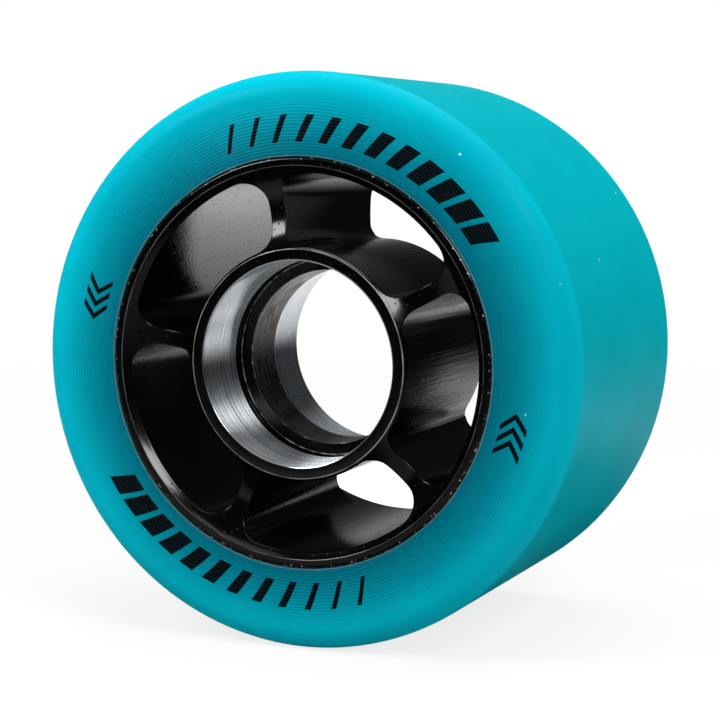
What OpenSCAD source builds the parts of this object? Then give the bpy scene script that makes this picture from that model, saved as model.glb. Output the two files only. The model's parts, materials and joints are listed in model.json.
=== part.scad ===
// Quad roller skate wheel: a cast urethane tyre bonded on a one-piece aluminium hub.
// Lengths are in millimetres. The wheel spins about Y, its front face looks along -Y,
// and the origin is the middle of the tyre, on the axis.

/* [Tyre] */
// Diameter over the tread
tyre_diameter = 62; // [58:0.5:70]
// Width from the front face to the rear edge
tyre_width = 39; // [36:0.5:46]
// Radius of the rounded edge between each side and the tread
lip_radius = 2.5; // [1:0.1:3.5]
// Width of the flat ring on the rear side, between the rounded edge and the recess
rear_land = 3.5; // [1:0.1:5]

/* [Rim] */
// Outside diameter of the rim, on which the tyre is bonded
rim_diameter = 44; // [42:0.5:47]
// Length of the rim along the axis, from the front face back
rim_width = 32.5; // [27:0.5:36]
// Thickness of the rim outside the windows
rim_wall = 1.7; // [1.2:0.1:2.5]
// How far the rim is bored out behind the spokes
rim_relief = 0.3; // [0.1:0.1:0.5]
// Width of the flat ring on the rim's front face
rim_land = 0.95; // [0.4:0.05:1.1]
// Length of plain rim behind the spokes
rim_overhang = 3.2; // [1:0.1:6]
// Chamfer on the rim's corners
rim_chamfer = 0.25; // [0.1:0.05:0.4]

/* [Tyre keying] */
// Number of grooves round the rim that the urethane fills
key_count = 3; // [1:1:5]
// Width of each groove
key_width = 2.4; // [1:0.1:4]
// Depth of each groove
key_depth = 0.6; // [0.2:0.1:0.7]

/* [Barrel] */
// Diameter of both bearing seats
seat_diameter = 22; // [19:0.5:24]
// Length of each finished bearing seat, from the barrel's end
seat_depth = 8; // [6:0.1:9]
// Chamfer at the mouth of each bearing seat
seat_chamfer = 0.1; // [0.05:0.05:0.4]
// Length of the relief between a seat and its stop
relief_width = 1.2; // [0.4:0.1:2]
// Depth of the relief below the seat
relief_depth = 0.25; // [0.1:0.05:0.5]
// Height of the stop that each bearing is pressed against
stop_height = 1.4; // [0.6:0.1:2.5]
// Thickness of the barrel outside the bearing seats
barrel_wall = 1.55; // [1.3:0.05:2.4]
// Length of the barrel along the axis, from the front face back
barrel_length = 24.4; // [22.5:0.1:28]
// Width of the flat ring on the barrel's front face
nose_land = 1.25; // [0.6:0.05:1.25]

/* [Spokes] */
// Number of spokes
spoke_count = 5; // [4:1:7]
// Thickness of each spoke at its waist
spoke_width = 1.7; // [1.2:0.1:3]
// Angle of the first spoke from straight up
spoke_turn = 10.5; // [0:0.5:71.5]
// Fillet where a spoke meets the rim
rim_fillet = 2.5; // [1:0.1:3]
// Fillet where a spoke meets the barrel
barrel_fillet = 2.1; // [1:0.1:3]
// Depth of the round groove turned in the hub's front face
dish_depth = 2; // [1:0.1:3]
// Radius of the bowl turned in the hub's rear
bowl_radius = 15.6; // [12:0.2:40]
// How far the barrel's rear face is cut out into the roots of the spokes
root_cut = 0.4; // [0.2:0.1:1]
// Depth of that cut below the roots
root_step = 0.3; // [0.2:0.1:1]

/* [Hidden] */
$fn = 96;
// How far a cutting shape reaches past what it cuts
margin = 1;
// How far a fillet's circle reaches past the two edges that it joins, so that it crosses them
fillet_overlap = 0.02;

// Heights along the axis, with the front face at the top
front = tyre_width / 2;
rear = -tyre_width / 2;
rim_rear = front - rim_width;
barrel_rear = front - barrel_length;
web_rear = rim_rear + rim_overhang;

// Radii
tyre_r = tyre_diameter / 2;
recess_r = tyre_r - lip_radius - rear_land;
rim_r = rim_diameter / 2;
window_outer = rim_r - rim_wall;
rim_bore_r = window_outer + rim_relief;
seat_r = seat_diameter / 2;
stop_r = seat_r - stop_height;
barrel_r = seat_r + barrel_wall;
root_r = barrel_r + root_cut;

// Front groove: a circle through the inner edge of the rim's land and the outer edge of the nose's land
dish_inner = seat_r + nose_land;
dish_outer = rim_r - rim_land;
dish_half = (dish_outer - dish_inner) / 2;
dish_radius = (dish_half * dish_half + dish_depth * dish_depth) / (2 * dish_depth);

// Rear bowl: a circle of bowl_radius through the spokes' roots and the rim's bore, bulging to the front
root_rear = barrel_rear - root_step;
bowl_run = rim_bore_r - root_r;
bowl_rise = web_rear - root_rear;
bowl_chord = sqrt(bowl_run * bowl_run + bowl_rise * bowl_rise);
bowl_sink = sqrt(bowl_radius * bowl_radius - bowl_chord * bowl_chord / 4) / bowl_chord;
bowl_center_r = (root_r + rim_bore_r) / 2 + bowl_rise * bowl_sink;
bowl_center_h = (root_rear + web_rear) / 2 - bowl_run * bowl_sink;

// Window corners: each fillet's centre by its distance from the axis and its angle from the spoke's middle
half_pitch = 180 / spoke_count;
rim_fillet_reach = window_outer - rim_fillet;
rim_fillet_angle = asin((spoke_width / 2 + rim_fillet) / rim_fillet_reach);
barrel_fillet_reach = barrel_r + barrel_fillet;
barrel_fillet_angle = asin((spoke_width / 2 + barrel_fillet) / barrel_fillet_reach);

// A point at a distance and an angle
function polar(reach, angle) = [reach * cos(angle), reach * sin(angle)];

// Lays a shape made along Z on its side, with its top looking along -Y
module lay_down() {
    rotate([90, 0, 0])
        children();
}

// Keying grooves cut in the rim, as a half section
module key_section() {
    pitch = rim_width / (key_count + 1);
    for (i = [1:key_count])
        translate([rim_r - key_depth, rim_rear + i * pitch - key_width / 2])
            square([key_depth + margin, key_width]);
}

// Half section of the space inside the tyre, with the grooves that the urethane fills left out
module rim_section() {
    difference() {
        translate([0, rim_rear - margin])
            square([rim_r, rim_width + 2 * margin]);
        key_section();
    }
}

// What is cut from a sharp corner to round it; the round's centre is at the origin
module lip_section() {
    difference() {
        square(lip_radius + margin);
        circle(lip_radius);
    }
}

// Half section of the tyre
module tyre_section() {
    difference() {
        polygon([
            [rim_r - key_depth, front],
            [tyre_r, front],
            [tyre_r, rear],
            [recess_r, rear],
            [rim_r, rim_rear],
            [rim_r - key_depth, rim_rear]
        ]);
        rim_section();
        translate([tyre_r - lip_radius, front - lip_radius])
            lip_section();
        translate([tyre_r - lip_radius, rear + lip_radius])
            mirror([0, 1])
                lip_section();
    }
}

// Half section of one bearing seat with its entry chamfer and relief; the barrel's end is at height 0
module seat_section() {
    polygon([
        [0, margin],
        [seat_r + seat_chamfer + margin, margin],
        [seat_r, -seat_chamfer],
        [seat_r, -seat_depth],
        [seat_r + relief_depth, -seat_depth],
        [seat_r + relief_depth, -seat_depth - relief_width],
        [0, -seat_depth - relief_width]
    ]);
}

// Half section of the groove turned in the front face
module dish_section() {
    translate([(dish_inner + dish_outer) / 2, front - dish_depth + dish_radius])
        circle(dish_radius);
}

// Half section of the bowl turned in the rear
module bowl_section() {
    intersection() {
        translate([bowl_center_r, bowl_center_h])
            circle(bowl_radius);
        translate([barrel_r, rim_rear - margin])
            square([rim_bore_r - barrel_r, rim_width]);
    }
}

// Half section of the hub before its windows are cut
module hub_section() {
    difference() {
        polygon([
            [stop_r, front],
            [rim_r - rim_chamfer, front],
            [rim_r, front - rim_chamfer],
            [rim_r, rim_rear],
            [rim_bore_r + rim_chamfer, rim_rear],
            [rim_bore_r - margin, rim_rear + rim_chamfer + margin],
            [root_r, rim_rear + rim_chamfer + margin],
            [root_r, barrel_rear],
            [stop_r, barrel_rear]
        ]);
        dish_section();
        bowl_section();
        key_section();
        translate([0, front])
            seat_section();
        translate([0, barrel_rear])
            mirror([0, 1])
                seat_section();
    }
}

// What is cut from one corner of a window to round it: the corner lies towards both points,
// which are the fillet's ends moved out past the window's edges
module corner_section(center, end_a, end_b, fillet) {
    difference() {
        polygon([center, end_a, end_a + end_b - center, end_b]);
        translate(center)
            circle(fillet + fillet_overlap);
    }
}

// Outline of one window, with its middle on the X axis
module window_outline() {
    outer_angle = half_pitch - rim_fillet_angle;
    inner_angle = half_pitch - barrel_fillet_angle;
    apex = [spoke_width / 2 / sin(half_pitch), 0];
    difference() {
        intersection() {
            circle(window_outer);
            polygon([apex, apex + polar(rim_diameter, -half_pitch), apex + polar(rim_diameter, half_pitch)]);
        }
        circle(barrel_r);
        for (side = [-1, 1]) {
            to_wall = polar(1, side * (half_pitch + 90));
            corner_section(
                polar(rim_fillet_reach, side * outer_angle),
                polar(window_outer + margin, side * outer_angle),
                polar(rim_fillet_reach, side * outer_angle) + (rim_fillet + margin) * to_wall,
                rim_fillet
            );
            corner_section(
                polar(barrel_fillet_reach, side * inner_angle),
                polar(barrel_r - margin, side * inner_angle),
                polar(barrel_fillet_reach, side * inner_angle) + (barrel_fillet + margin) * to_wall,
                barrel_fillet
            );
        }
    }
}

// All the windows, from past the rim's rear to past the front face
module windows() {
    first_window = 90 + spoke_turn + half_pitch;
    for (i = [0:spoke_count - 1])
        rotate(first_window + i * 2 * half_pitch)
            translate([0, 0, rim_rear - margin])
                linear_extrude(rim_width + 2 * margin)
                    window_outline();
}

// Cast urethane tyre
module tyre() {
    color("darkturquoise")
        lay_down()
            rotate_extrude()
                tyre_section();
}

// Turned aluminium hub with its spokes, black with bare bearing seats
module hub() {
    color("#1c1c1f")
        lay_down()
            difference() {
                rotate_extrude()
                    hub_section();
                windows();
            }
}

tyre();
hub();
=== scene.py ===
"""Looks of the quad roller skate wheel: a cast urethane tyre on a black spoked hub, on a pale floor."""

import cmath
import json
import math

import bmesh
import bpy
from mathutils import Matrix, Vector


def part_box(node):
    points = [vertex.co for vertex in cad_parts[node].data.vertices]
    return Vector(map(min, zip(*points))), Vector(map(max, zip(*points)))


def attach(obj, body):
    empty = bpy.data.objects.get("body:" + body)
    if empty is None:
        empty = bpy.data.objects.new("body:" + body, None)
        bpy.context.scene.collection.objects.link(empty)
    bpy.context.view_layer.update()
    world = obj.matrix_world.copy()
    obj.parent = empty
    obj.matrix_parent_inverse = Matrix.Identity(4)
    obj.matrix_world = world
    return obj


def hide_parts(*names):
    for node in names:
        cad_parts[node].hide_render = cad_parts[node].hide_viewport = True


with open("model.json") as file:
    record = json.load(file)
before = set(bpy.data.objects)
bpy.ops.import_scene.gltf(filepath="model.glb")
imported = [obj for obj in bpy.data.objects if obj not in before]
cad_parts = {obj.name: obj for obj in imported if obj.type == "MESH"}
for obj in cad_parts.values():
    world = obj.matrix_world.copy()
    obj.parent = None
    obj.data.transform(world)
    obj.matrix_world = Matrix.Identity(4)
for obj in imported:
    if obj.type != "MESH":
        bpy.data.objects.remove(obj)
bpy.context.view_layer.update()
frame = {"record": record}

# Lengths below are in millimetres and angles in degrees, unless a name says otherwise.
# The wheel's axis is Y and its front looks along -Y.
# A plan point is a complex number: x, and z as its imaginary part.
METRES = 0.001
tyre_low, tyre_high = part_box("tyre")
_, hub_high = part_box("hub")
FRONT = tyre_low.y / METRES
REAR = tyre_high.y / METRES
TYRE_R = tyre_high.z / METRES
RIM_R = hub_high.z / METRES
RIM_REAR = hub_high.y / METRES
SEAT_R = frame["record"]["mounts"][0]["dims"]["r_mm"]

# Tyre
LIP_RADIUS = 2.5
REAR_LAND = 3.5
GROOVE_COUNT = 19
GROOVE_DEPTH = 0.06
INNER_ROUND = 0.07

# Rim
RIM_WALL = 1.7
RIM_RELIEF = 0.3
RIM_LAND = 0.95
RIM_OVERHANG = 3.2
RIM_CHAMFER = 0.25

# Barrel
SEAT_DEPTH = 8.0
SEAT_CHAMFER = 0.1
RELIEF_WIDTH = 1.2
RELIEF_DEPTH = 0.25
STOP_HEIGHT = 1.4
BARREL_WALL = 1.55
BARREL_LENGTH = 24.4
NOSE_LAND = 1.25

# Spokes
SPOKE_COUNT = 5
SPOKE_WIDTH = 1.7
SPOKE_TURN = 10.5
RIM_FILLET = 2.5
BARREL_FILLET = 2.1
DISH_DEPTH = 2.0
BOWL_RADIUS = 15.6
ROOT_CUT = 0.4
ROOT_STEP = 0.3

# How finely the pieces are drawn, and the small rounds on the hub's machined edges
TYRE_SEGMENTS = 240
LIP_STEPS = 16
GROOVE_POINTS = 6
ARC_STEPS = 22
FILLET_STEPS = 12
WALL_STEPS = 6
WEB_STEPS = 8
ROUND_STEPS = 4
EDGE_ROUND = 0.1
BORDER_INSET = 0.13

# Printed marks on the front face: two rows of slanted bars, and between them two small groups of chevrons
PRINT_RADIUS = 24.95
PRINT_HEIGHT = 2.9
PRINT_MIDDLE = 71.0
BAR_ROW = 34.0
BAR_PITCH = 2.9
BAR_SLANT = 0.45
BAR_FIRST_SHARE = 0.8
BAR_LAST_SHARE = 0.18
CHEVRON_MIDDLE = 94.0
CHEVRON_ROW = 4.2
CHEVRON_PITCH = 1.4
CHEVRON_SHARE = 0.5

# Metal that shows where the black is worn through
BARE_METAL = (0.34, 0.34, 0.36, 1)

# Floor: its greys where it throws light on the wheel and where it is seen, and how far the shadow reaches
FLOOR_RADIUS = 3000.0
FLOOR_SIDES = 96
FLOOR_LIGHTING = 0.55
FLOOR_SEEN = 0.85
SHADOW_NEAR = 60.0
SHADOW_FAR = 350.0
SHADOW_WHITE_SHARE = 0.82

# Floor in reflections: pools of light behind and before the wheel, and the shades round its foot
BACK_POOL = (-30.0, 90.0, 0.0)
BACK_POOL_RADIUS = 80.0
BACK_POOL_GLOW = 1.4
FRONT_POOL = (-40.0, -90.0, 0.0)
FRONT_POOL_RADIUS = 55.0
FRONT_POOL_GLOW = 0.5
SHADES = ((5.0, 20.0, 0.0), (45.0, 45.0, 0.0), (-10.0, -15.0, 0.0))
SHADE_NEAR = 28.0
SHADE_FAR = 42.0
SHADE_GLOW = 0.06

# Dark curtain round the set, with one pool of light on it
CURTAIN_DISTANCE = 1200.0
CURTAIN_SIDES = 48
CURTAIN_LOW = -3.0
CURTAIN_HIGH = 68.0
CURTAIN_GLOW = 0.014
CURTAIN_POOL = (-470.0, 1105.0, 60.0)
CURTAIN_POOL_RADIUS = 120.0
CURTAIN_POOL_GLOW = 0.42

# Lights: an even fill, and soft boxes that look at the wheel; radiance is how bright a box's face looks
WORLD_FILL = 0.14
LAMPS = {
    "left_key": dict(
        azimuth=-40.0, elevation=34.0, distance=190.0, width=66.0, height=64.0, radiance=15.5
    ),
    "right_key": dict(
        azimuth=53.0, elevation=38.5, distance=600.0, width=235.0, height=190.0, radiance=15.0
    ),
    "top_box": dict(
        azimuth=150.0, elevation=76.0, distance=450.0, width=500.0, height=500.0, radiance=2.6
    ),
}

# Camera
IMAGE_PIXELS = 720
FOCAL_PIXELS = 2008.0
SENSOR_WIDTH = 36.0
CLIP_START = 10.0
CAMERA_AZIMUTH = 22.79
CAMERA_ELEVATION = 5.64
CAMERA_DISTANCE = 231.4
CAMERA_TARGET = Vector((-0.79, 0.0, -1.33))

# Derived sizes
LIP_CENTER_R = TYRE_R - LIP_RADIUS
RECESS_R = LIP_CENTER_R - REAR_LAND
TYRE_INNER_R = RIM_R + INNER_ROUND
GROOVE_PITCH = (LIP_CENTER_R - TYRE_INNER_R) / GROOVE_COUNT
WINDOW_OUTER = RIM_R - RIM_WALL
RIM_BORE_R = WINDOW_OUTER + RIM_RELIEF
WEB_REAR = RIM_REAR - RIM_OVERHANG
BARREL_R = SEAT_R + BARREL_WALL
BARREL_REAR = FRONT + BARREL_LENGTH
BARREL_MIDDLE = (FRONT + BARREL_REAR) / 2
STOP_R = SEAT_R - STOP_HEIGHT
STOP_REACH = SEAT_DEPTH + RELIEF_WIDTH
RELIEF_R = SEAT_R + RELIEF_DEPTH
ROOT_R = BARREL_R + ROOT_CUT
DISH_INNER = SEAT_R + NOSE_LAND
DISH_OUTER = RIM_R - RIM_LAND
HALF_PITCH = math.pi / SPOKE_COUNT


# Small geometry helpers

def arc(center, radius, start, sweep, steps):
    """Plan points along an arc, without its last one; angles in radians."""
    return [center + cmath.rect(radius, start + sweep * i / steps) for i in range(steps)]


def line(start, end, steps):
    """Plan points along a straight line, without its last one."""
    return [start + (end - start) * i / steps for i in range(steps)]


def bezier(start, corner, end, steps):
    """Points that round off a corner."""
    points = []
    for i in range(steps + 1):
        along = i / steps
        left = 1 - along
        points.append(left ** 2 * start + 2 * along * left * corner + along ** 2 * end)
    return points


def rounded(corners, size):
    """A half section with its inner corners rounded off; a point is a complex number, radius and depth."""
    side_share = 0.45
    points = [corners[0]]
    for before, corner, after in zip(corners, corners[1:], corners[2:]):
        back = before - corner
        ahead = after - corner
        reach = min(size, abs(back) * side_share, abs(ahead) * side_share)
        start = corner + back / abs(back) * reach
        end = corner + ahead / abs(ahead) * reach
        points += bezier(start, corner, end, ROUND_STEPS)
    points.append(corners[-1])
    return points


def in_space(plan, depth):
    """A plan point at a depth along the axis, as a point in space."""
    return Vector((plan.real, depth, plan.imag))


def add_sheet(mesh, rows):
    """Adds a sheet of four-sided faces between closed rows of points."""
    made = [[mesh.verts.new(point) for point in row] for row in rows]
    for row, following in zip(made, made[1:]):
        pairs = list(zip(row, following))
        pairs.append(pairs[0])
        for (here, above), (beside, across) in zip(pairs, pairs[1:]):
            mesh.faces.new((here, beside, across, above))


def add_turned(mesh, section, angles):
    """Adds the sheet that a half section sweeps round the axis."""
    rows = []
    for point in section:
        rows.append([in_space(cmath.rect(point.real, angle), point.imag) for angle in angles])
    add_sheet(mesh, rows)


def make_piece(name, mesh, materials, material_of=None):
    """Closes the sheets into one solid in metres, and puts it in the scene."""
    merge_distance = 0.0005
    bmesh.ops.remove_doubles(mesh, verts=mesh.verts, dist=merge_distance)
    bmesh.ops.recalc_face_normals(mesh, faces=mesh.faces)
    for face in mesh.faces:
        face.smooth = True
        if material_of:
            face.material_index = material_of(face.calc_center_median())
    bmesh.ops.scale(mesh, vec=(METRES, METRES, METRES), verts=mesh.verts)
    data = bpy.data.meshes.new(name)
    mesh.to_mesh(data)
    mesh.free()
    for material in materials:
        data.materials.append(material)
    piece = bpy.data.objects.new(name, data)
    bpy.context.scene.collection.objects.link(piece)
    normals = piece.modifiers.new("normals", "WEIGHTED_NORMAL")
    normals.mode = "FACE_AREA"
    return piece


# Tyre

def turned_ring(inner, outer, depth, inward):
    """Section of a flat ring with turning grooves, cut inward (1 or -1) and fading over its outer third."""
    fade_rate = 3
    steps = round((outer - inner) / GROOVE_PITCH) * GROOVE_POINTS
    points = []
    for i in range(steps + 1):
        wave = (1 - math.cos(2 * math.pi * i / GROOVE_POINTS)) / 2
        fade = min(1.0, fade_rate * (1 - i / steps))
        radius = inner + (outer - inner) * i / steps
        points.append(complex(radius, depth + inward * GROOVE_DEPTH * wave * fade))
    return points


def tyre_section():
    """Closed half section of the tyre, from the rim's front corner round the outside and back."""
    quarter = math.pi / 2
    corner = complex(RIM_R, FRONT)
    points = bezier(corner + INNER_ROUND * 1j, corner, corner + INNER_ROUND, ROUND_STEPS)
    points += turned_ring(TYRE_INNER_R, LIP_CENTER_R, FRONT, 1)[1:-1]
    points += arc(complex(LIP_CENTER_R, FRONT + LIP_RADIUS), LIP_RADIUS, -quarter, quarter, LIP_STEPS)
    points.append(complex(TYRE_R, FRONT + LIP_RADIUS))
    points += arc(complex(LIP_CENTER_R, REAR - LIP_RADIUS), LIP_RADIUS, 0, quarter, LIP_STEPS)
    points += reversed(turned_ring(RECESS_R, LIP_CENTER_R, REAR, -1))
    points.append(complex(RIM_R, RIM_REAR))
    points.append(points[0])
    return points


def make_tyre(material):
    """The cast tyre, turned in one piece."""
    mesh = bmesh.new()
    angles = [2 * math.pi * i / TYRE_SEGMENTS for i in range(TYRE_SEGMENTS)]
    add_turned(mesh, tyre_section(), angles)
    return make_piece("urethane_tyre", mesh, [material])


# Hub

def dish_depth_at(radius):
    """Depth of the round groove turned in the hub's front."""
    half = (DISH_OUTER - DISH_INNER) / 2
    groove = (half ** 2 + DISH_DEPTH ** 2) / (2 * DISH_DEPTH)
    offset = radius - (DISH_INNER + DISH_OUTER) / 2
    return FRONT + DISH_DEPTH - groove + math.sqrt(groove ** 2 - offset ** 2)


def bowl_depth_at(radius):
    """Depth of the hub's rear: the barrel's flat end, then the bowl turned behind the spokes."""
    if radius < ROOT_R:
        return BARREL_REAR
    run = RIM_BORE_R - ROOT_R
    rise = WEB_REAR - BARREL_REAR - ROOT_STEP
    chord = math.hypot(run, rise)
    sink = math.sqrt(BOWL_RADIUS ** 2 - chord ** 2 / 4) / chord
    center_r = (ROOT_R + RIM_BORE_R) / 2 - rise * sink
    center_depth = (BARREL_REAR + ROOT_STEP + WEB_REAR) / 2 + run * sink
    return center_depth - math.sqrt(BOWL_RADIUS ** 2 - (radius - center_r) ** 2)


def both_halves(half):
    """A whole loop of plan points from its half at positive angles."""
    return half + [point.conjugate() for point in reversed(half[1:-1])]


class Window:
    """Plan of one window with its middle on +X: its edge, and the border of the web round it."""

    def __init__(self):
        half_width = SPOKE_WIDTH / 2
        self.along = cmath.rect(1, HALF_PITCH)
        self.wall_side = HALF_PITCH + math.pi / 2
        to_wall = cmath.rect(1, self.wall_side)
        rim_reach = WINDOW_OUTER - RIM_FILLET
        barrel_reach = BARREL_R + BARREL_FILLET
        self.rim_angle = HALF_PITCH - math.asin((half_width + RIM_FILLET) / rim_reach)
        self.barrel_angle = HALF_PITCH - math.asin((half_width + BARREL_FILLET) / barrel_reach)
        self.rim_center = cmath.rect(rim_reach, self.rim_angle)
        self.barrel_center = cmath.rect(barrel_reach, self.barrel_angle)
        self.rim_end = self.rim_center + RIM_FILLET * to_wall
        self.barrel_end = self.barrel_center + BARREL_FILLET * to_wall

    def edge(self):
        """The window's own outline."""
        rim_sweep = self.wall_side - self.rim_angle
        barrel_sweep = self.barrel_angle + math.pi - self.wall_side
        half = arc(0, WINDOW_OUTER, 0, self.rim_angle, ARC_STEPS)
        half += arc(self.rim_center, RIM_FILLET, self.rim_angle, rim_sweep, FILLET_STEPS)
        half += line(self.rim_end, self.barrel_end, WALL_STEPS)
        half += arc(self.barrel_center, BARREL_FILLET, self.wall_side, barrel_sweep, FILLET_STEPS)
        half += arc(0, BARREL_R, self.barrel_angle, -self.barrel_angle, ARC_STEPS)
        half.append(complex(BARREL_R))
        return both_halves(half)

    def border(self, inner, outer):
        """The line round the window's part of the web, point for point beside its edge."""
        rim_foot = (self.rim_end / self.along).real * self.along
        barrel_foot = (self.barrel_end / self.along).real * self.along
        half_fillet = FILLET_STEPS // 2
        half = arc(0, outer, 0, self.rim_angle, ARC_STEPS)
        half += arc(0, outer, self.rim_angle, HALF_PITCH - self.rim_angle, half_fillet)
        half += line(outer * self.along, rim_foot, half_fillet)
        half += line(rim_foot, barrel_foot, WALL_STEPS)
        half += line(barrel_foot, inner * self.along, half_fillet)
        half += arc(0, inner, HALF_PITCH, self.barrel_angle - HALF_PITCH, half_fillet)
        half += arc(0, inner, self.barrel_angle, -self.barrel_angle, ARC_STEPS)
        half.append(complex(inner))
        return both_halves(half)


def window_middles():
    """Angles of the windows' middles."""
    straight_up = 90
    first = math.radians(straight_up + SPOKE_TURN) + HALF_PITCH
    return [first + 2 * HALF_PITCH * i for i in range(SPOKE_COUNT)]


def ring_angles(turn):
    """Angles of all the windows' border points on one circle; turn is where a window's fillet starts."""
    half_fillet = FILLET_STEPS // 2
    half = [turn * i / ARC_STEPS for i in range(ARC_STEPS)]
    half += [turn + (HALF_PITCH - turn) * i / half_fillet for i in range(half_fillet + 1)]
    span = [-angle for angle in reversed(half[1:])] + half[:-1]
    return [middle + angle for middle in window_middles() for angle in span]


def web_rows(edge, border, depth_at, wall_direction):
    """Rows of points from a window's wall over its rounded edge and across the web to the border."""
    rounds = []
    spans = []
    for on_edge, end in zip(edge, border):
        across = end - on_edge
        start = on_edge + across / abs(across) * min(EDGE_ROUND, abs(across) / 2)
        corner = in_space(on_edge, depth_at(abs(on_edge)))
        on_wall = corner + Vector((0, wall_direction * EDGE_ROUND, 0))
        on_web = in_space(start, depth_at(abs(start)))
        rounds.append(bezier(on_wall, corner, on_web, ROUND_STEPS))
        spans.append((start, end))
    rows = list(zip(*rounds))
    for i in range(1, WEB_STEPS + 1):
        row = [start + (end - start) * i / WEB_STEPS for start, end in spans]
        rows.append([in_space(point, depth_at(abs(point))) for point in row])
    return rows


def rim_section(start):
    """Half section of the rim, from the front groove over the outside to the bowl behind the spokes."""
    return rounded([
        complex(start, dish_depth_at(start)),
        complex(DISH_OUTER, FRONT),
        complex(RIM_R - RIM_CHAMFER, FRONT),
        complex(RIM_R, FRONT + RIM_CHAMFER),
        complex(RIM_R, RIM_REAR),
        complex(RIM_BORE_R + RIM_CHAMFER, RIM_REAR),
        complex(RIM_BORE_R, RIM_REAR - RIM_CHAMFER),
        complex(RIM_BORE_R, WEB_REAR),
    ], EDGE_ROUND)


def seat_corners(end, inward):
    """Corners of a bearing seat's half section from the barrel's end in; inward is 1 or -1."""
    return [
        complex(SEAT_R + SEAT_CHAMFER, end),
        complex(SEAT_R, end + inward * SEAT_CHAMFER),
        complex(SEAT_R, end + inward * SEAT_DEPTH),
        complex(RELIEF_R, end + inward * SEAT_DEPTH),
        complex(RELIEF_R, end + inward * STOP_REACH),
        complex(STOP_R, end + inward * STOP_REACH),
    ]


def barrel_section(front_start, rear_end):
    """Half section of the barrel's inside, from the front groove through the bore to the rear face."""
    corners = [complex(front_start, dish_depth_at(front_start)), complex(DISH_INNER, FRONT)]
    corners += seat_corners(FRONT, 1)
    corners += reversed(seat_corners(BARREL_REAR, -1))
    corners.append(complex(rear_end, BARREL_REAR))
    return rounded(corners, EDGE_ROUND)


def hub_material_at(point):
    """Index of the material at a point of the hub: black, bare on a seat, or rough between the stops."""
    black = 0
    bare = 1
    rough = 2
    slack = 0.05
    radius = math.hypot(point.x, point.z)
    if -slack < radius - SEAT_R < SEAT_CHAMFER + slack:
        return bare
    if abs(radius - STOP_R) < slack and FRONT + STOP_REACH < point.y < BARREL_REAR - STOP_REACH:
        return rough
    return black


def make_hub(materials):
    """The machined hub: turned rim and barrel joined by the pierced web."""
    mesh = bmesh.new()
    window = Window()
    dish_start = DISH_INNER + BORDER_INSET
    dish_end = DISH_OUTER - BORDER_INSET
    rear_start = BARREL_R - 2 * BORDER_INSET
    edge = window.edge()
    front_border = window.border(dish_start, dish_end)
    rear_border = window.border(rear_start, RIM_BORE_R)
    front_rows = web_rows(edge, front_border, dish_depth_at, 1)
    rear_rows = web_rows(edge, rear_border, bowl_depth_at, -1)
    rows = list(reversed(front_rows)) + rear_rows
    for middle in window_middles():
        turn = cmath.rect(1, middle)
        turned = []
        for row in rows:
            turned.append([in_space(complex(point.x, point.z) * turn, point.y) for point in row])
        add_sheet(mesh, turned)
    add_turned(mesh, rim_section(dish_end), ring_angles(window.rim_angle))
    add_turned(mesh, barrel_section(dish_start, rear_start), ring_angles(window.barrel_angle))
    return make_piece("spoked_hub", mesh, materials, hub_material_at)


# Materials

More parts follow.
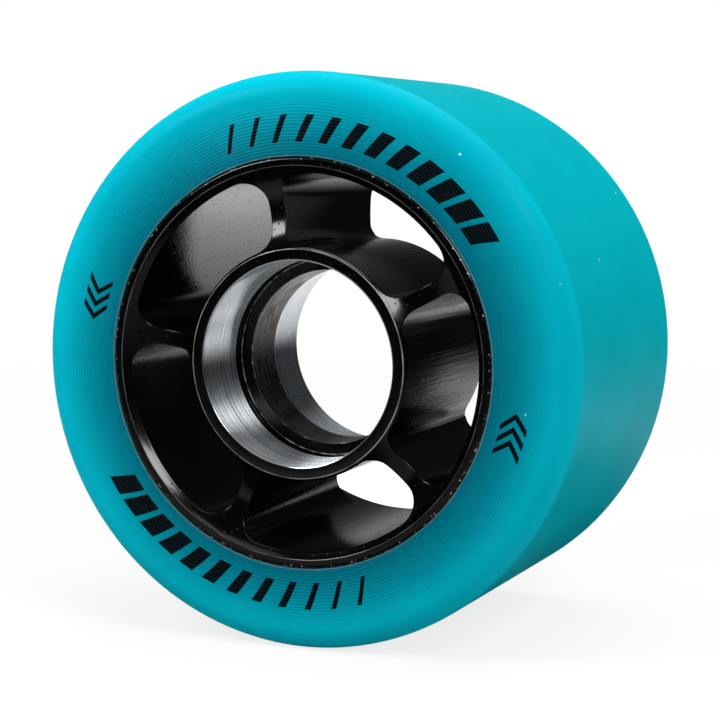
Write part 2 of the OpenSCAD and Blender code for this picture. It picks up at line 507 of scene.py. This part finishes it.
class Painter:
    """Adds nodes to a node tree; its methods return the socket that holds a result."""

    def __init__(self, tree):
        self.tree = tree

    def node(self, kind, **settings):
        """A new node with some of its settings changed."""
        made = self.tree.nodes.new(kind)
        for name, value in settings.items():
            setattr(made, name, value)
        return made

    def feed(self, socket, value):
        """Links a socket to a result, or sets it to a plain value."""
        if isinstance(value, bpy.types.NodeSocket):
            self.tree.links.new(value, socket)
        else:
            socket.default_value = value

    def math(self, operation, *values):
        """A sum on one, two or three numbers."""
        made = self.node("ShaderNodeMath", operation=operation)
        for socket, value in zip(made.inputs, values):
            self.feed(socket, value)
        return made.outputs[0]

    def smooth(self, value, start, end, low=0.0, high=1.0):
        """Goes smoothly from low to high as a value goes from start to end."""
        made = self.node("ShaderNodeMapRange", interpolation_type="SMOOTHSTEP")
        numbers = {"Value": value, "From Min": start, "From Max": end, "To Min": low, "To Max": high}
        for name, number in numbers.items():
            self.feed(made.inputs[name], number)
        return made.outputs[0]

    def blend(self, mask, low, high):
        """Goes from low to high as a mask goes from 0 to 1."""
        return self.smooth(mask, 0.0, 1.0, low, high)

    def within(self, value, middle, half, soft):
        """1 where a value lies within a half width of a middle, 0 elsewhere, with a soft border."""
        distance = self.math("ABSOLUTE", self.math("SUBTRACT", value, middle))
        return self.smooth(self.math("SUBTRACT", distance, half), soft, -soft)

    def all_of(self, *masks):
        """The product of several masks."""
        result = masks[0]
        for mask in masks[1:]:
            result = self.math("MULTIPLY", result, mask)
        return result

    def any_of(self, *masks):
        """The largest of several masks."""
        result = masks[0]
        for mask in masks[1:]:
            result = self.math("MAXIMUM", result, mask)
        return result

    def mix(self, factor, first, second):
        """A blend of two colours."""
        made = self.node("ShaderNodeMix", data_type="RGBA")
        self.feed(made.inputs["Factor"], factor)
        colours = [socket for socket in made.inputs if socket.type == "RGBA"]
        self.feed(colours[0], first)
        self.feed(colours[1], second)
        return next(socket for socket in made.outputs if socket.type == "RGBA")

    def position(self, stretch=(1.0, 1.0, 1.0)):
        """The point on the object in millimetres, with each axis stretched."""
        scale = self.node("ShaderNodeVectorMath", operation="MULTIPLY")
        self.feed(scale.inputs[0], self.node("ShaderNodeTexCoord").outputs["Object"])
        self.feed(scale.inputs[1], tuple(share / METRES for share in stretch))
        return scale.outputs[0]

    def distance(self, point):
        """Distance from a point of the object, in millimetres."""
        made = self.node("ShaderNodeVectorMath", operation="DISTANCE")
        self.feed(made.inputs[0], self.position())
        self.feed(made.inputs[1], point)
        return made.outputs["Value"]

    def polar(self):
        """Distance from the axis, angle round it in degrees from +X towards +Z, and depth along it."""
        parts = self.node("ShaderNodeSeparateXYZ")
        self.feed(parts.inputs[0], self.position())
        x, depth, z = parts.outputs
        squares = self.math("ADD", self.math("MULTIPLY", x, x), self.math("MULTIPLY", z, z))
        angle = self.math("DEGREES", self.math("ARCTAN2", z, x))
        return self.math("SQRT", squares), angle, depth

    def unrolled(self, reach, stretch):
        """The surface round the axis laid flat: the way round at this radius, stretched, and the depth."""
        _, angle, depth = self.polar()
        flat = self.node("ShaderNodeCombineXYZ")
        self.feed(flat.inputs["X"], self.math("MULTIPLY", angle, math.radians(reach) * stretch))
        self.feed(flat.inputs["Y"], depth)
        return flat.outputs[0]

    def noise(self, waves, detail=2.0, stretch=(1.0, 1.0, 1.0), place=None):
        """Soft noise from 0 to 1, in waves a millimetre, at the point on the object or at a place."""
        made = self.node("ShaderNodeTexNoise")
        self.feed(made.inputs["Vector"], place or self.position(stretch))
        self.feed(made.inputs["Scale"], waves)
        self.feed(made.inputs["Detail"], detail)
        return made.outputs["Fac"]

    def relief(self, **settings):
        """The same noise as a height, above and below 0."""
        middle = 0.5
        return self.math("SUBTRACT", self.noise(**settings), middle)

    def lines(self, value, waves, detail=3.0):
        """Uneven lines across one coordinate."""
        made = self.node("ShaderNodeTexNoise", noise_dimensions="1D")
        self.feed(made.inputs["W"], value)
        self.feed(made.inputs["Scale"], waves)
        self.feed(made.inputs["Detail"], detail)
        return made.outputs["Fac"]

    def specks(self, spacing, size, share):
        """Scattered round specks: about one in a cube of this spacing, thinned to a share of them."""
        core = 0.4
        cells = self.node("ShaderNodeTexVoronoi")
        self.feed(cells.inputs["Vector"], self.position())
        self.feed(cells.inputs["Scale"], 1 / spacing)
        chosen = self.node("ShaderNodeSeparateColor")
        self.feed(chosen.inputs[0], cells.outputs["Color"])
        near = self.smooth(cells.outputs["Distance"], size / spacing, size / spacing * core)
        return self.math("MULTIPLY", near, self.math("LESS_THAN", chosen.outputs[0], share))

    def facing_axis(self):
        """How squarely the surface faces along the wheel's axis, from 0 to 1."""
        parts = self.node("ShaderNodeSeparateXYZ")
        self.feed(parts.inputs[0], self.node("ShaderNodeTexCoord").outputs["Normal"])
        return self.math("ABSOLUTE", parts.outputs["Y"])

    def bump(self, height, depth, normal=None):
        """A surface normal from a height; depth is in millimetres."""
        made = self.node("ShaderNodeBump")
        self.feed(made.inputs["Height"], height)
        self.feed(made.inputs["Distance"], depth * METRES)
        if normal:
            self.feed(made.inputs["Normal"], normal)
        return made.outputs[0]

    def join_output(self, shader, kind="ShaderNodeOutputMaterial"):
        """Joins a shader to the tree's output."""
        output = self.node(kind)
        self.tree.links.new(shader.outputs[0], output.inputs["Surface"])

    def surface(self, **inputs):
        """The finished surface, with its inputs named by their words."""
        shader = self.node("ShaderNodeBsdfPrincipled")
        for name, value in inputs.items():
            self.feed(shader.inputs[name.replace("_", " ")], value)
        self.join_output(shader)


def new_material(name):
    """An empty material and the painter of its nodes."""
    material = bpy.data.materials.new(name)
    material.use_nodes = True
    material.node_tree.nodes.clear()
    return material, Painter(material.node_tree)


def repeating(paint, value, pitch):
    """A value's way through each pitch, from 0 to 1."""
    return paint.math("FLOORED_MODULO", paint.math("DIVIDE", value, pitch), 1.0)


def printed_marks(paint, radius, angle, depth):
    """Mask of the plain marks printed on the front face, the same on both halves of the wheel."""
    half_turn = 180.0
    before = 60.0
    soft = 0.04
    turned = paint.math("ADD", angle, 2 * half_turn + before - PRINT_MIDDLE)
    along = paint.math("SUBTRACT", paint.math("MODULO", turned, half_turn), before)
    height = paint.math("SUBTRACT", radius, PRINT_RADIUS)
    in_band = paint.all_of(
        paint.within(height, middle=0.0, half=PRINT_HEIGHT / 2, soft=soft),
        paint.math("LESS_THAN", depth, FRONT + LIP_RADIUS),
    )
    arc_per_degree = math.radians(PRINT_RADIUS)
    row = paint.math("MULTIPLY", along, arc_per_degree)
    slanted = paint.math("ADD", row, paint.math("MULTIPLY", height, BAR_SLANT))
    share = paint.smooth(slanted, BAR_ROW / 2, -BAR_ROW / 2, BAR_LAST_SHARE, BAR_FIRST_SHARE)
    half_bar = paint.math("DIVIDE", share, 2.0)
    bar_step = repeating(paint, slanted, BAR_PITCH)
    bars = paint.all_of(
        paint.within(bar_step, middle=0.5, half=half_bar, soft=soft / BAR_PITCH),
        paint.within(slanted, middle=0.0, half=BAR_ROW / 2, soft=soft),
    )
    chevron_row = paint.math("SUBTRACT", row, CHEVRON_MIDDLE * arc_per_degree)
    bent = paint.math("ADD", chevron_row, paint.math("ABSOLUTE", height))
    chevron_step = repeating(paint, bent, CHEVRON_PITCH)
    chevrons = paint.all_of(
        paint.within(chevron_step, middle=0.5, half=CHEVRON_SHARE / 2, soft=soft / CHEVRON_PITCH),
        paint.within(bent, middle=CHEVRON_PITCH / 2, half=CHEVRON_ROW / 2, soft=soft),
    )
    return paint.all_of(in_band, paint.any_of(bars, chevrons))


def worn_print(paint, radius, angle, depth):
    """Mask of the printed ink, thinner on the crests between the turning grooves."""
    half_groove = 0.5
    grooves = paint.math("DIVIDE", paint.math("SUBTRACT", radius, TYRE_INNER_R), GROOVE_PITCH)
    from_crest = paint.math("PINGPONG", grooves, half_groove)
    left_on = paint.smooth(from_crest, start=0.02, end=0.14, low=0.9)
    return paint.math("MULTIPLY", printed_marks(paint, radius, angle, depth), left_on)


def urethane_colour(paint, radius, from_edge):
    """Urethane teal with bubbles and a ragged inner edge, painted shade by the rim, and painted light
    towards and on the lips and on the tread.
    """
    # Only the face's teal is the urethane's own; the others are painted shade by the rim, which also gives
    # the cloudy tone, and painted light on the tread and lips.
    shade_and_cloud_teal = (0.0006, 0.135, 0.195, 1)
    face = (0.0006, 0.210, 0.278, 1)
    lit_tread_teal = (0.0006, 0.350, 0.415, 1)
    painted_glow_teal = (0.0006, 0.410, 0.520, 1)
    flash = (0.06, 0.16, 0.19, 1)
    bubble = (0.40, 0.88, 0.92, 1)
    rim_shade_start = RIM_R - 0.5
    rim_shade_end = RIM_R + 2.6
    glow_start = RIM_R + 1.5
    glow_end = TYRE_R - 1.5
    lit_tread_start = TYRE_R - 0.2
    lip_start = LIP_CENTER_R - 0.5
    lip_end = TYRE_R - 1.0
    lip_border = LIP_RADIUS + 0.8
    lip_inside = LIP_RADIUS - 0.9
    flash_start = RIM_R + 0.02
    flash_width = 0.22
    # Painted shade: darker by the rim, going over into the face's own teal further out.
    colour = paint.mix(paint.smooth(radius, rim_shade_start, rim_shade_end), shade_and_cloud_teal, face)
    # Painted light: the face grows paler towards the lips.
    colour = paint.mix(paint.smooth(radius, glow_start, glow_end), colour, painted_glow_teal)
    # Painted light: the tread lighter than the face.
    colour = paint.mix(paint.smooth(radius, lit_tread_start, TYRE_R), colour, lit_tread_teal)
    # Painted light: the rounded lips paler still, on the front and on the back.
    lip_glow = paint.all_of(
        paint.smooth(radius, lip_start, lip_end),
        paint.smooth(from_edge, lip_border, lip_inside),
    )
    colour = paint.mix(lip_glow, colour, painted_glow_teal)
    # Cloudy tone at random, in the same darker teal as the painted shade by the rim.
    cloud = paint.smooth(paint.noise(waves=0.09), start=0.3, end=0.75, high=0.12)
    colour = paint.mix(cloud, colour, shade_and_cloud_teal)
    colour = paint.mix(paint.specks(spacing=3.6, size=0.2, share=0.12), colour, bubble)
    ragged = paint.math("ADD", flash_start, paint.math("MULTIPLY", paint.noise(waves=1.2), flash_width))
    return paint.mix(paint.math("LESS_THAN", radius, ragged), colour, flash)


def urethane_material():
    """Cast urethane with depth and a faint gloss, print on its face and fine scratches on its tread."""
    material, paint = new_material("urethane")
    ink = (0.003, 0.003, 0.004, 1)
    radius, angle, depth = paint.polar()
    from_edge = paint.math("SUBTRACT", REAR, paint.math("ABSOLUTE", depth))
    colour = urethane_colour(paint, radius, from_edge)
    colour = paint.mix(worn_print(paint, radius, angle, depth), colour, ink)
    on_tread = paint.smooth(from_edge, start=0.12 * LIP_RADIUS, end=0.5 * LIP_RADIUS)
    unevenness = 0.06
    uneven = paint.math("MULTIPLY", paint.noise(waves=0.7), unevenness)
    scratches = paint.math("MULTIPLY", paint.lines(depth, waves=7.0), on_tread)
    paint.surface(
        Base_Color=colour,
        Roughness=paint.math("ADD", paint.blend(on_tread, low=0.30, high=0.32), uneven),
        Normal=paint.bump(scratches, depth=0.002),
        Specular_IOR_Level=0.012,
        Subsurface_Weight=0.6,
        Subsurface_Radius=(0.35, 1.0, 1.0),
        Subsurface_Scale=0.003,
    )
    return material


def worn_places(paint, radius, depth):
    """Masks of the metal bared along two front edges, in nicks, and in a line on each bearing stop."""
    rim_wear = 0.3
    nose_edge = paint.within(radius, DISH_INNER, half=0.05, soft=0.03)
    rim_edge = paint.within(radius, DISH_OUTER, half=0.04, soft=0.03)
    edges = paint.all_of(
        paint.any_of(nose_edge, paint.math("MULTIPLY", rim_edge, rim_wear)),
        paint.math("LESS_THAN", depth, FRONT + EDGE_ROUND),
        paint.smooth(paint.noise(waves=0.4, detail=3.0), start=0.35, end=0.6, low=0.25, high=0.8),
    )
    rim_corner = paint.all_of(
        paint.math("GREATER_THAN", radius, RIM_R - RIM_CHAMFER - EDGE_ROUND),
        paint.math("LESS_THAN", depth, FRONT + 2 * RIM_CHAMFER),
    )
    nicks = paint.any_of(
        paint.all_of(rim_corner, paint.smooth(paint.noise(waves=2.4, detail=4.0), start=0.60, end=0.70)),
        paint.specks(spacing=1.9, size=0.06, share=0.015),
    )
    line_height = 0.15
    stop_line = paint.all_of(
        paint.within(radius, SEAT_R - line_height, half=0.06, soft=0.04),
        paint.within(depth, BARREL_MIDDLE, half=BARREL_LENGTH / 2 - SEAT_DEPTH, soft=0.1),
        paint.smooth(paint.noise(waves=1.2, detail=3.0), start=0.4, end=0.62, low=0.15),
    )
    return edges, nicks, stop_line


def black_normal(paint, radius, pits, facing):
    """Normal of the black: die lines on the walls by the barrel, grain on those farther out, and pits."""
    along_axis = (1.0, 0.02, 1.0)
    barrel_near = BARREL_R + 0.4
    barrel_far = BARREL_R + 2.0
    on_wall = paint.smooth(facing, start=0.6, end=0.3)
    die_share = paint.smooth(radius, barrel_far, barrel_near, low=0.15)
    grain_share = paint.smooth(radius, barrel_far, barrel_near, low=1.0, high=0.35)
    die_relief = paint.relief(waves=3.0, detail=4.0, stretch=along_axis)
    grain_relief = paint.relief(waves=4.0, detail=3.0)
    die_lines = paint.all_of(die_relief, die_share, on_wall)
    grain = paint.all_of(grain_relief, grain_share, on_wall)
    normal = paint.bump(die_lines, depth=0.05)
    normal = paint.bump(grain, depth=0.022, normal=normal)
    return paint.bump(pits, depth=-0.008, normal=normal)


def black_material():
    """Black anodised aluminium: polished pitted walls, a softer turned front, worn and nicked edges."""
    material, paint = new_material("black_anodised")
    radius, _, depth = paint.polar()
    black = (0.0005, 0.0005, 0.0008, 1)
    smoke = (0.0014, 0.0014, 0.0017, 1)
    colour = paint.mix(paint.smooth(paint.noise(waves=0.5), start=0.35, end=0.7), black, smoke)
    for mask in worn_places(paint, radius, depth):
        colour = paint.mix(mask, colour, BARE_METAL)
    facing = paint.facing_axis()
    pits = paint.specks(spacing=0.55, size=0.13, share=0.45)
    pit_roughness = 0.9
    roughness = paint.any_of(
        paint.smooth(paint.noise(waves=0.9, detail=4.0), start=0.3, end=0.7, low=0.08, high=0.13),
        paint.smooth(facing, start=0.3, end=0.6, high=0.15),
        paint.math("MULTIPLY", pits, pit_roughness),
    )
    paint.surface(
        Base_Color=colour,
        Roughness=roughness,
        Normal=black_normal(paint, radius, pits, facing),
        Specular_IOR_Level=0.35,
    )
    return material


def seat_material():
    """Bare bored aluminium, which its fine lines round the bore make shine along the axis."""
    material, paint = new_material("bare_aluminium")
    _, _, depth = paint.polar()
    light = (0.92, 0.96, 1.0, 1)
    dull = (0.73, 0.76, 0.79, 1)
    round_bore = (1.0, 3.0, 1.0)
    streaks = paint.lines(depth, waves=2.6, detail=5.0)
    worn = paint.noise(waves=0.35, detail=3.0, stretch=round_bore)
    scored = paint.smooth(paint.lines(depth, waves=10.0, detail=2.0), start=0.475, end=0.555)
    tone = paint.any_of(
        paint.smooth(streaks, start=0.5, end=0.75, high=0.5),
        paint.smooth(worn, start=0.55, end=0.8, high=0.4),
    )
    paint.surface(
        Base_Color=paint.mix(tone, light, dull),
        Metallic=1.0,
        Roughness=paint.blend(scored, low=0.1, high=0.48),
        Anisotropic=1.0,
        Anisotropic_Rotation=0.25,
        Tangent=paint.node("ShaderNodeTangent", direction_type="RADIAL", axis="Y").outputs[0],
    )
    return material


def stop_material():
    """Dark bore between the bearing stops, torn in streaks round it, with bright nicks along its ends."""
    material, paint = new_material("rough_bore")
    _, _, depth = paint.polar()
    dark = (0.004, 0.004, 0.005, 1)
    torn = (0.050, 0.050, 0.055, 1)
    streaks = paint.noise(waves=2.6, detail=5.0, place=paint.unrolled(STOP_R, stretch=0.22))
    chips = paint.noise(waves=2.2, detail=3.0, place=paint.unrolled(STOP_R, stretch=0.6))
    from_middle = paint.math("ABSOLUTE", paint.math("SUBTRACT", depth, BARREL_MIDDLE))
    from_end = paint.math("SUBTRACT", BARREL_LENGTH / 2 - STOP_REACH, from_middle)
    nicks = paint.all_of(
        paint.smooth(from_end, start=0.35, end=0.1),
        paint.smooth(chips, start=0.56, end=0.64),
    )
    colour = paint.mix(paint.smooth(streaks, start=0.46, end=0.66), dark, torn)
    paint.surface(
        Base_Color=paint.mix(nicks, colour, BARE_METAL),
        Roughness=paint.smooth(streaks, start=0.4, end=0.65, low=0.26, high=0.5),
        Normal=paint.bump(streaks, depth=0.05),
    )
    return material


# Stage

def toward(azimuth, elevation):
    """Direction from the wheel: azimuth from the front round to the right, elevation up, in degrees."""
    turn = math.radians(azimuth)
    rise = math.radians(elevation)
    return Vector((math.sin(turn) * math.cos(rise), -math.cos(turn) * math.cos(rise), math.sin(rise)))


def grey(level):
    """A grey as a colour."""
    return (level, level, level, 1)


def background_rays(paint):
    """1 for the rays that show the background: directly, in a reflection or through something clear."""
    path = paint.node("ShaderNodeLightPath")
    return paint.any_of(
        path.outputs["Is Camera Ray"], path.outputs["Is Glossy Ray"], path.outputs["Is Transmission Ray"]
    )


def make_world():
    """White where it is seen, and a soft even fill where it lights."""
    world = bpy.data.worlds.new("studio")
    world.use_nodes = True
    world.node_tree.nodes.clear()
    paint = Painter(world.node_tree)
    background = paint.node("ShaderNodeBackground")
    background.inputs["Color"].default_value = grey(1)
    paint.feed(background.inputs["Strength"], paint.blend(background_rays(paint), WORLD_FILL, 1.0))
    paint.join_output(background, "ShaderNodeOutputWorld")
    bpy.context.scene.world = world


def pool_of_light(paint, middle, radius, glow):
    """A pool of light: this glow at its middle, half of it at its radius, and less from there on."""
    reach = paint.math("DIVIDE", paint.distance(middle), radius)
    return paint.math("DIVIDE", glow, paint.math("ADD", 1.0, paint.math("MULTIPLY", reach, reach)))


def floor_glow(paint):
    """How bright the floor looks in a reflection: two pools of light, with the wheel's shades in them."""
    glow = paint.any_of(
        pool_of_light(paint, BACK_POOL, BACK_POOL_RADIUS, BACK_POOL_GLOW),
        pool_of_light(paint, FRONT_POOL, FRONT_POOL_RADIUS, FRONT_POOL_GLOW),
    )
    for middle in SHADES:
        shade = paint.smooth(paint.distance(middle), SHADE_NEAR, SHADE_FAR, low=SHADE_GLOW)
        glow = paint.math("MULTIPLY", glow, shade)
    return glow


def make_floor():
    """A pale floor that goes over into the white background and keeps a soft shadow."""
    bpy.ops.mesh.primitive_circle_add(
        vertices=FLOOR_SIDES, radius=FLOOR_RADIUS * METRES, fill_type="NGON", location=(0, 0, tyre_low.z)
    )
    floor = bpy.context.object
    floor.name = "floor"
    material, paint = new_material("pale_floor")
    seen = paint.node("ShaderNodeLightPath").outputs["Is Camera Ray"]
    pale = paint.node("ShaderNodeBsdfDiffuse")
    paint.feed(pale.inputs["Color"], paint.mix(seen, grey(FLOOR_LIGHTING), grey(FLOOR_SEEN)))
    white = paint.node("ShaderNodeEmission")
    paint.feed(white.inputs["Strength"], paint.any_of(seen, floor_glow(paint)))
    share = paint.smooth(paint.distance((0, 0, 0)), SHADOW_NEAR, SHADOW_FAR, low=SHADOW_WHITE_SHARE)
    hidden = paint.math("SUBTRACT", 1.0, seen)
    white_share = paint.any_of(share, hidden)
    blend = paint.node("ShaderNodeMixShader")
    paint.feed(blend.inputs[0], paint.math("MULTIPLY", background_rays(paint), white_share))
    paint.tree.links.new(pale.outputs[0], blend.inputs[1])
    paint.tree.links.new(white.outputs[0], blend.inputs[2])
    paint.join_output(blend)
    floor.data.materials.append(material)


def make_curtain():
    """A dark curtain round the set, behind the lamps, that only reflections show."""
    full_turn = 360
    mesh = bmesh.new()
    rows = []
    for elevation in (CURTAIN_LOW, CURTAIN_HIGH):
        height = Vector((0, 0, math.tan(math.radians(elevation))))
        spots = [toward(full_turn * i / CURTAIN_SIDES, 0) + height for i in range(CURTAIN_SIDES)]
        rows.append([spot * CURTAIN_DISTANCE * METRES for spot in spots])
    add_sheet(mesh, rows)
    data = bpy.data.meshes.new("curtain")
    mesh.to_mesh(data)
    mesh.free()
    material, paint = new_material("dark_curtain")
    pool = pool_of_light(paint, CURTAIN_POOL, CURTAIN_POOL_RADIUS, CURTAIN_POOL_GLOW)
    shade = paint.node("ShaderNodeEmission")
    paint.feed(shade.inputs["Strength"], paint.math("ADD", pool, CURTAIN_GLOW))
    paint.join_output(shade)
    data.materials.append(material)
    curtain = bpy.data.objects.new("curtain", data)
    bpy.context.scene.collection.objects.link(curtain)
    curtain.visible_camera = False
    curtain.visible_diffuse = False
    curtain.visible_transmission = False
    curtain.visible_shadow = False


def make_lamp(name, azimuth, elevation, distance, width, height, radiance):
    """A soft box that looks at the wheel."""
    data = bpy.data.lights.new(name, "AREA")
    data.shape = "RECTANGLE"
    data.size = width * METRES
    data.size_y = height * METRES
    data.energy = radiance * math.pi * data.size * data.size_y
    lamp = bpy.data.objects.new(name, data)
    lamp.location = toward(azimuth, elevation) * distance * METRES
    lamp.rotation_mode = "QUATERNION"
    lamp.rotation_quaternion = toward(azimuth, elevation).to_track_quat("Z", "Y")
    lamp.visible_camera = False
    bpy.context.scene.collection.objects.link(lamp)


def make_camera():
    """The camera at the photograph's viewing angle."""
    data = bpy.data.cameras.new("camera")
    data.sensor_width = SENSOR_WIDTH
    data.lens = FOCAL_PIXELS / IMAGE_PIXELS * SENSOR_WIDTH
    data.clip_start = CLIP_START * METRES
    camera = bpy.data.objects.new("camera", data)
    back = toward(CAMERA_AZIMUTH, CAMERA_ELEVATION)
    camera.location = (CAMERA_TARGET + back * CAMERA_DISTANCE) * METRES
    camera.rotation_mode = "QUATERNION"
    camera.rotation_quaternion = (-back).to_track_quat("-Z", "Y")
    bpy.context.scene.collection.objects.link(camera)
    bpy.context.scene.camera = camera


tyre = make_tyre(urethane_material())
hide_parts("tyre")
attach(tyre, "root")

hub = make_hub([black_material(), seat_material(), stop_material()])
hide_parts("hub")
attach(hub, "root")

bpy.context.scene.view_settings.view_transform = "Standard"
make_world()
make_floor()
make_curtain()
for lamp_name, lamp_values in LAMPS.items():
    make_lamp(lamp_name, **lamp_values)
make_camera()
